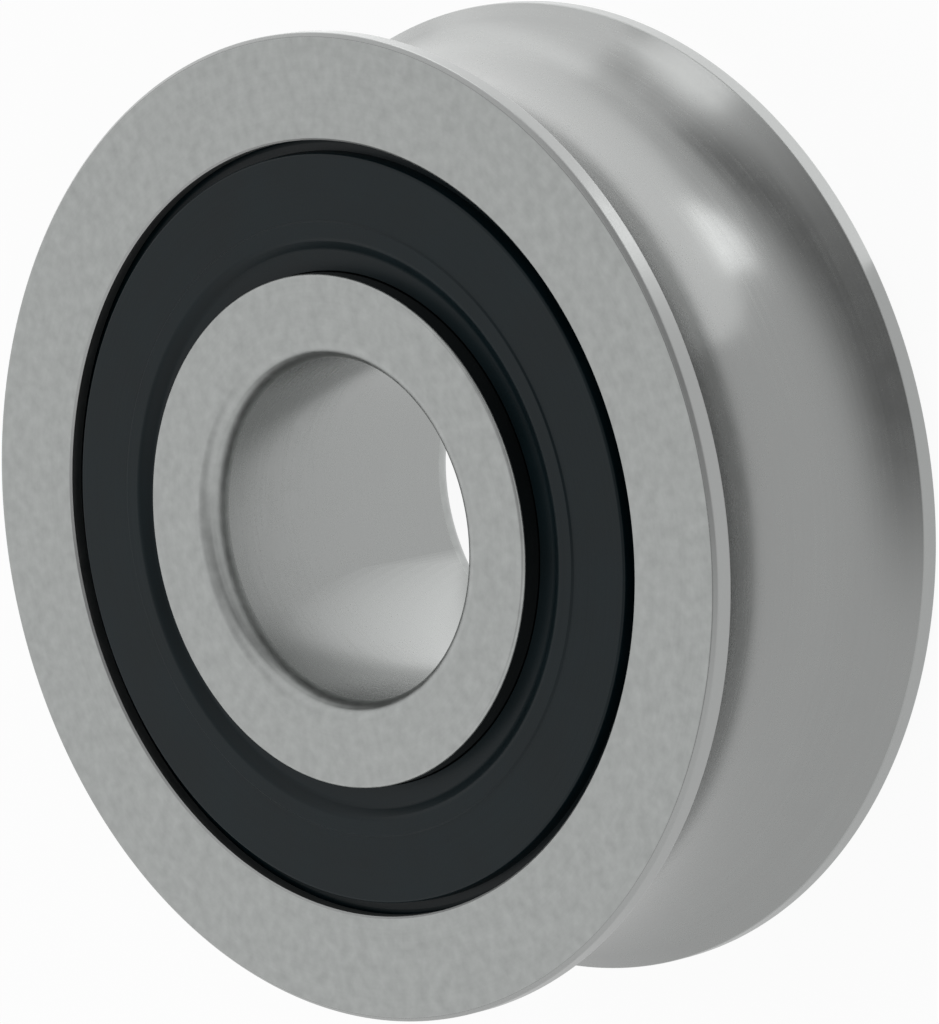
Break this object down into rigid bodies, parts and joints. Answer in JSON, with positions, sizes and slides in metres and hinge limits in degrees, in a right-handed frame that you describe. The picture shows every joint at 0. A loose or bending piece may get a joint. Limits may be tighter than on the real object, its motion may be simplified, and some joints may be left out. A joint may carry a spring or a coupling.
{
  "type": "track roller bearing",
  "caption": "Sealed track roller bearing: a steel outer ring with a U-shaped track for a round rail, turning on rows of balls around a wider inner ring with a plain bore.",
  "frame": {"origin": "middle of the bore, halfway between the end faces", "axes": "+Z along the bore axis; the part lies on the inner ring's lower end face"},
  "size_m": [0.072, 0.072, 0.0258],
  "materials": {
    "ring_steel": "ground, satin faces and a polished track",
    "seal_rubber": "matt black moulded rubber",
    "cage_plastic": "moulded, glass-filled",
    "ball_steel": "polished bearing steel"
  },
  "bodies": {
    "inner_ring": {"inner_ring": "ring_steel"},
    "outer_ring": {"outer_ring": "ring_steel", "upper_seal": "seal_rubber", "lower_seal": "seal_rubber"},
    "upper_cage": {"upper_cage": "cage_plastic"},
    "lower_cage": {"lower_cage": "cage_plastic"},
    "upper_ball_01": {"upper_ball_01": "ball_steel"},
    "upper_ball_02": {"upper_ball_02": "ball_steel"},
    "upper_ball_03": {"upper_ball_03": "ball_steel"},
    "upper_ball_04": {"upper_ball_04": "ball_steel"},
    "upper_ball_05": {"upper_ball_05": "ball_steel"},
    "upper_ball_06": {"upper_ball_06": "ball_steel"},
    "upper_ball_07": {"upper_ball_07": "ball_steel"},
    "upper_ball_08": {"upper_ball_08": "ball_steel"},
    "upper_ball_09": {"upper_ball_09": "ball_steel"},
    "upper_ball_10": {"upper_ball_10": "ball_steel"},
    "upper_ball_11": {"upper_ball_11": "ball_steel"},
    "upper_ball_12": {"upper_ball_12": "ball_steel"},
    "lower_ball_01": {"lower_ball_01": "ball_steel"},
    "lower_ball_02": {"lower_ball_02": "ball_steel"},
    "lower_ball_03": {"lower_ball_03": "ball_steel"},
    "lower_ball_04": {"lower_ball_04": "ball_steel"},
    "lower_ball_05": {"lower_ball_05": "ball_steel"},
    "lower_ball_06": {"lower_ball_06": "ball_steel"},
    "lower_ball_07": {"lower_ball_07": "ball_steel"},
    "lower_ball_08": {"lower_ball_08": "ball_steel"},
    "lower_ball_09": {"lower_ball_09": "ball_steel"},
    "lower_ball_10": {"lower_ball_10": "ball_steel"},
    "lower_ball_11": {"lower_ball_11": "ball_steel"},
    "lower_ball_12": {"lower_ball_12": "ball_steel"}
  },
  "joints": [
    {"name": "outer_ring_spin", "type": "hinge", "parent": "inner_ring", "child": "outer_ring", "pos_m": [0, 0, 0], "axis": [0, 0, 1], "continuous": true},
    {"name": "upper_cage_spin", "type": "hinge", "parent": "inner_ring", "child": "upper_cage", "pos_m": [0, 0, 0], "axis": [0, 0, 1], "continuous": true},
    {"name": "lower_cage_spin", "type": "hinge", "parent": "inner_ring", "child": "lower_cage", "pos_m": [0, 0, 0], "axis": [0, 0, 1], "continuous": true},
    {"name": "upper_ball_01_spin", "type": "hinge", "parent": "upper_cage", "child": "upper_ball_01", "pos_m": [0.02072, 0, 0.0044], "axis": [0.5, 0, 0.866], "continuous": true},
    {"name": "upper_ball_02_spin", "type": "hinge", "parent": "upper_cage", "child": "upper_ball_02", "pos_m": [0.01794, 0.01036, 0.0044], "axis": [0.433, 0.25, 0.866], "continuous": true},
    {"name": "upper_ball_03_spin", "type": "hinge", "parent": "upper_cage", "child": "upper_ball_03", "pos_m": [0.01036, 0.01794, 0.0044], "axis": [0.25, 0.433, 0.866], "continuous": true},
    {"name": "upper_ball_04_spin", "type": "hinge", "parent": "upper_cage", "child": "upper_ball_04", "pos_m": [0, 0.02072, 0.0044], "axis": [0, 0.5, 0.866], "continuous": true},
    {"name": "upper_ball_05_spin", "type": "hinge", "parent": "upper_cage", "child": "upper_ball_05", "pos_m": [-0.01036, 0.01794, 0.0044], "axis": [-0.25, 0.433, 0.866], "continuous": true},
    {"name": "upper_ball_06_spin", "type": "hinge", "parent": "upper_cage", "child": "upper_ball_06", "pos_m": [-0.01794, 0.01036, 0.0044], "axis": [-0.433, 0.25, 0.866], "continuous": true},
    {"name": "upper_ball_07_spin", "type": "hinge", "parent": "upper_cage", "child": "upper_ball_07", "pos_m": [-0.02072, 0, 0.0044], "axis": [-0.5, 0, 0.866], "continuous": true},
    {"name": "upper_ball_08_spin", "type": "hinge", "parent": "upper_cage", "child": "upper_ball_08", "pos_m": [-0.01794, -0.01036, 0.0044], "axis": [-0.433, -0.25, 0.866], "continuous": true},
    {"name": "upper_ball_09_spin", "type": "hinge", "parent": "upper_cage", "child": "upper_ball_09", "pos_m": [-0.01036, -0.01794, 0.0044], "axis": [-0.25, -0.433, 0.866], "continuous": true},
    {"name": "upper_ball_10_spin", "type": "hinge", "parent": "upper_cage", "child": "upper_ball_10", "pos_m": [0, -0.02072, 0.0044], "axis": [0, -0.5, 0.866], "continuous": true},
    {"name": "upper_ball_11_spin", "type": "hinge", "parent": "upper_cage", "child": "upper_ball_11", "pos_m": [0.01036, -0.01794, 0.0044], "axis": [0.25, -0.433, 0.866], "continuous": true},
    {"name": "upper_ball_12_spin", "type": "hinge", "parent": "upper_cage", "child": "upper_ball_12", "pos_m": [0.01794, -0.01036, 0.0044], "axis": [0.433, -0.25, 0.866], "continuous": true},
    {"name": "lower_ball_01_spin", "type": "hinge", "parent": "lower_cage", "child": "lower_ball_01", "pos_m": [0.02001, 0.00536, -0.0044], "axis": [-0.483, -0.1294, 0.866], "continuous": true},
    {"name": "lower_ball_02_spin", "type": "hinge", "parent": "lower_cage", "child": "lower_ball_02", "pos_m": [0.01465, 0.01465, -0.0044], "axis": [-0.3536, -0.3536, 0.866], "continuous": true},
    {"name": "lower_ball_03_spin", "type": "hinge", "parent": "lower_cage", "child": "lower_ball_03", "pos_m": [0.00536, 0.02001, -0.0044], "axis": [-0.1294, -0.483, 0.866], "continuous": true},
    {"name": "lower_ball_04_spin", "type": "hinge", "parent": "lower_cage", "child": "lower_ball_04", "pos_m": [-0.00536, 0.02001, -0.0044], "axis": [0.1294, -0.483, 0.866], "continuous": true},
    {"name": "lower_ball_05_spin", "type": "hinge", "parent": "lower_cage", "child": "lower_ball_05", "pos_m": [-0.01465, 0.01465, -0.0044], "axis": [0.3536, -0.3536, 0.866], "continuous": true},
    {"name": "lower_ball_06_spin", "type": "hinge", "parent": "lower_cage", "child": "lower_ball_06", "pos_m": [-0.02001, 0.00536, -0.0044], "axis": [0.483, -0.1294, 0.866], "continuous": true},
    {"name": "lower_ball_07_spin", "type": "hinge", "parent": "lower_cage", "child": "lower_ball_07", "pos_m": [-0.02001, -0.00536, -0.0044], "axis": [0.483, 0.1294, 0.866], "continuous": true},
    {"name": "lower_ball_08_spin", "type": "hinge", "parent": "lower_cage", "child": "lower_ball_08", "pos_m": [-0.01465, -0.01465, -0.0044], "axis": [0.3536, 0.3536, 0.866], "continuous": true},
    {"name": "lower_ball_09_spin", "type": "hinge", "parent": "lower_cage", "child": "lower_ball_09", "pos_m": [-0.00536, -0.02001, -0.0044], "axis": [0.1294, 0.483, 0.866], "continuous": true},
    {"name": "lower_ball_10_spin", "type": "hinge", "parent": "lower_cage", "child": "lower_ball_10", "pos_m": [0.00536, -0.02001, -0.0044], "axis": [-0.1294, 0.483, 0.866], "continuous": true},
    {"name": "lower_ball_11_spin", "type": "hinge", "parent": "lower_cage", "child": "lower_ball_11", "pos_m": [0.01465, -0.01465, -0.0044], "axis": [-0.3536, 0.3536, 0.866], "continuous": true},
    {"name": "lower_ball_12_spin", "type": "hinge", "parent": "lower_cage", "child": "lower_ball_12", "pos_m": [0.02001, -0.00536, -0.0044], "axis": [-0.483, 0.1294, 0.866], "continuous": true}
  ],
  "couplings": [
    {"joint": "upper_cage_spin", "follows": "outer_ring_spin", "ratio": 0.58295},
    {"joint": "lower_cage_spin", "follows": "outer_ring_spin", "ratio": 0.58295},
    {"joint": "upper_ball_01_spin", "follows": "outer_ring_spin", "ratio": 2.5384},
    {"joint": "upper_ball_02_spin", "follows": "outer_ring_spin", "ratio": 2.5384},
    {"joint": "upper_ball_03_spin", "follows": "outer_ring_spin", "ratio": 2.5384},
    {"joint": "upper_ball_04_spin", "follows": "outer_ring_spin", "ratio": 2.5384},
    {"joint": "upper_ball_05_spin", "follows": "outer_ring_spin", "ratio": 2.5384},
    {"joint": "upper_ball_06_spin", "follows": "outer_ring_spin", "ratio": 2.5384},
    {"joint": "upper_ball_07_spin", "follows": "outer_ring_spin", "ratio": 2.5384},
    {"joint": "upper_ball_08_spin", "follows": "outer_ring_spin", "ratio": 2.5384},
    {"joint": "upper_ball_09_spin", "follows": "outer_ring_spin", "ratio": 2.5384},
    {"joint": "upper_ball_10_spin", "follows": "outer_ring_spin", "ratio": 2.5384},
    {"joint": "upper_ball_11_spin", "follows": "outer_ring_spin", "ratio": 2.5384},
    {"joint": "upper_ball_12_spin", "follows": "outer_ring_spin", "ratio": 2.5384},
    {"joint": "lower_ball_01_spin", "follows": "outer_ring_spin", "ratio": 2.5384},
    {"joint": "lower_ball_02_spin", "follows": "outer_ring_spin", "ratio": 2.5384},
    {"joint": "lower_ball_03_spin", "follows": "outer_ring_spin", "ratio": 2.5384},
    {"joint": "lower_ball_04_spin", "follows": "outer_ring_spin", "ratio": 2.5384},
    {"joint": "lower_ball_05_spin", "follows": "outer_ring_spin", "ratio": 2.5384},
    {"joint": "lower_ball_06_spin", "follows": "outer_ring_spin", "ratio": 2.5384},
    {"joint": "lower_ball_07_spin", "follows": "outer_ring_spin", "ratio": 2.5384},
    {"joint": "lower_ball_08_spin", "follows": "outer_ring_spin", "ratio": 2.5384},
    {"joint": "lower_ball_09_spin", "follows": "outer_ring_spin", "ratio": 2.5384},
    {"joint": "lower_ball_10_spin", "follows": "outer_ring_spin", "ratio": 2.5384},
    {"joint": "lower_ball_11_spin", "follows": "outer_ring_spin", "ratio": 2.5384},
    {"joint": "lower_ball_12_spin", "follows": "outer_ring_spin", "ratio": 2.5384}
  ]
}
